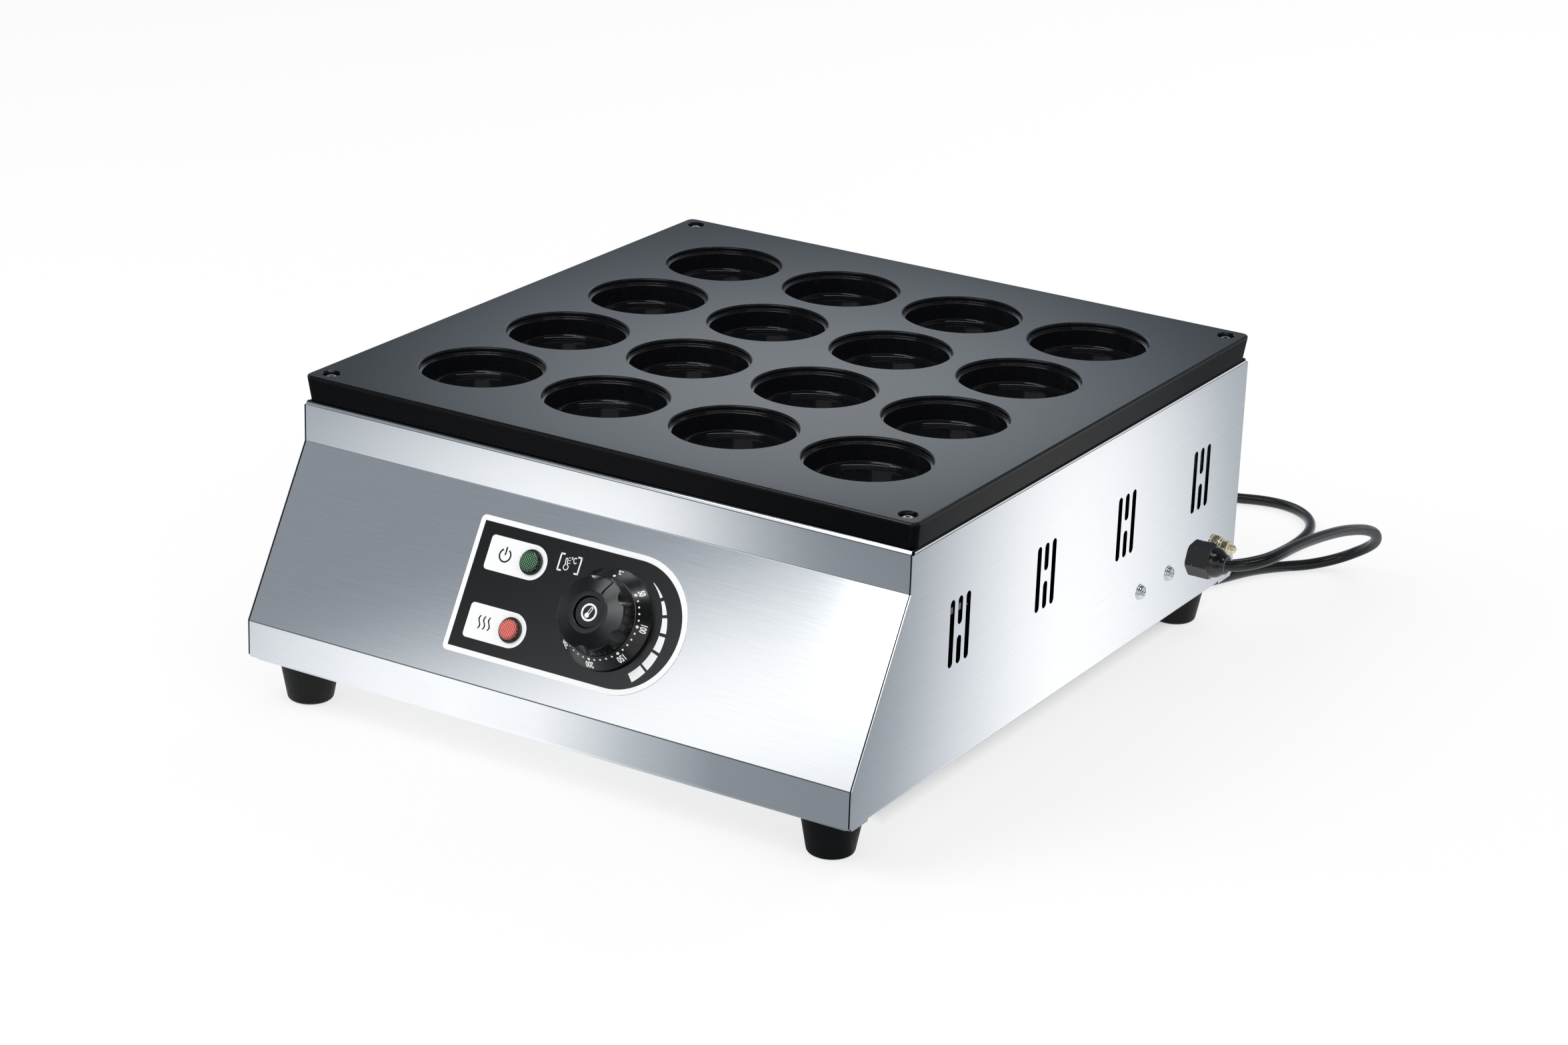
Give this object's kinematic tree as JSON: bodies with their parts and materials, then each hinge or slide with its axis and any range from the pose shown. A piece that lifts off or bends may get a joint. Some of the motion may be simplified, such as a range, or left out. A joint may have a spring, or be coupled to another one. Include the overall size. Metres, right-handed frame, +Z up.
{
  "type": "egg burger maker",
  "caption": "Electric countertop cooker with a grid of round stepped pockets in a dark mould plate, a steel housing with a sloping front, a thermostat knob, lamps, rubber feet and a mains lead.",
  "frame": {"origin": "on the floor under the middle of the object box, measured without the lead, its coil and its plug", "axes": "+Z up, -Y towards the user (the control slope faces -Y), +X to the right of the user"},
  "size_m": [0.455, 0.6485, 0.1813],
  "materials": {
    "coated_plate": "dark non-stick coating, satin",
    "panel_steel": "satin stainless sheet",
    "plain_steel": "plain sheet",
    "zinc_steel": "bright zinc",
    "element_sheath": "heat-darkened",
    "copper": "drawn copper",
    "yellow_zinc": "yellow passivated zinc",
    "black_knob": "moulded, satin black",
    "overlay_film": "printed film, black with white",
    "green_lens": "clear tinted",
    "red_lens": "clear tinted",
    "foot_rubber": "moulded rubber",
    "cord_rubber": "rubber sheath",
    "pin_brass": "plated brass",
    "ceramic": "glazed insulator",
    "black_plastic": "moulded nylon"
  },
  "bodies": {
    "housing": {"mould_plate": "coated_plate", "plate_screws": "zinc_steel", "plate_nuts": "zinc_steel", "front_panel": "panel_steel", "left_side_panel": "panel_steel", "right_side_panel": "panel_steel", "rear_panel": "panel_steel", "base_plate": "plain_steel", "bracket_front_left": "plain_steel", "bracket_front_right": "plain_steel", "bracket_rear_left": "plain_steel", "bracket_rear_right": "plain_steel", "element_front": "element_sheath", "element_rear": "element_sheath", "element_terminals": "element_sheath", "clamp_bars": "plain_steel", "clamp_screws": "zinc_steel", "heat_shield": "plain_steel", "thermostat_body": "black_plastic", "thermostat_screws": "zinc_steel", "capillary_tube": "copper", "sensing_bulb": "copper", "dial_plate": "black_knob", "control_overlay": "overlay_film", "green_lamp_lens": "green_lens", "green_lamp_body": "black_plastic", "red_lamp_lens": "red_lens", "red_lamp_body": "black_plastic", "lamp_nuts": "black_plastic", "terminal_block": "ceramic", "terminal_screws": "zinc_steel", "terminal_nuts": "zinc_steel", "gland_body": "black_plastic", "gland_cap": "black_plastic", "gland_locknut": "black_plastic", "earth_stud": "yellow_zinc", "earth_washers": "yellow_zinc", "earth_nuts": "yellow_zinc", "foot_front_left": "foot_rubber", "foot_front_right": "foot_rubber", "foot_rear_left": "foot_rubber", "foot_rear_right": "foot_rubber", "foot_screws": "zinc_steel", "foot_nuts": "zinc_steel", "base_screws": "zinc_steel", "power_cord": "cord_rubber", "cord_coil": "cord_rubber", "cord_tie": "black_plastic", "plug_body": "cord_rubber", "plug_pins": "pin_brass"},
    "control": {"knob": "black_knob", "knob_cap": "black_knob", "thermostat_spindle": "zinc_steel"}
  },
  "joints": [
    {"name": "knob_turn", "type": "hinge", "parent": "housing", "child": "control", "pos_m": [0.0169, -0.2008, 0.0957], "axis": [0, 0.8684, -0.4958], "range_deg": [-25, 200]}
  ]
}
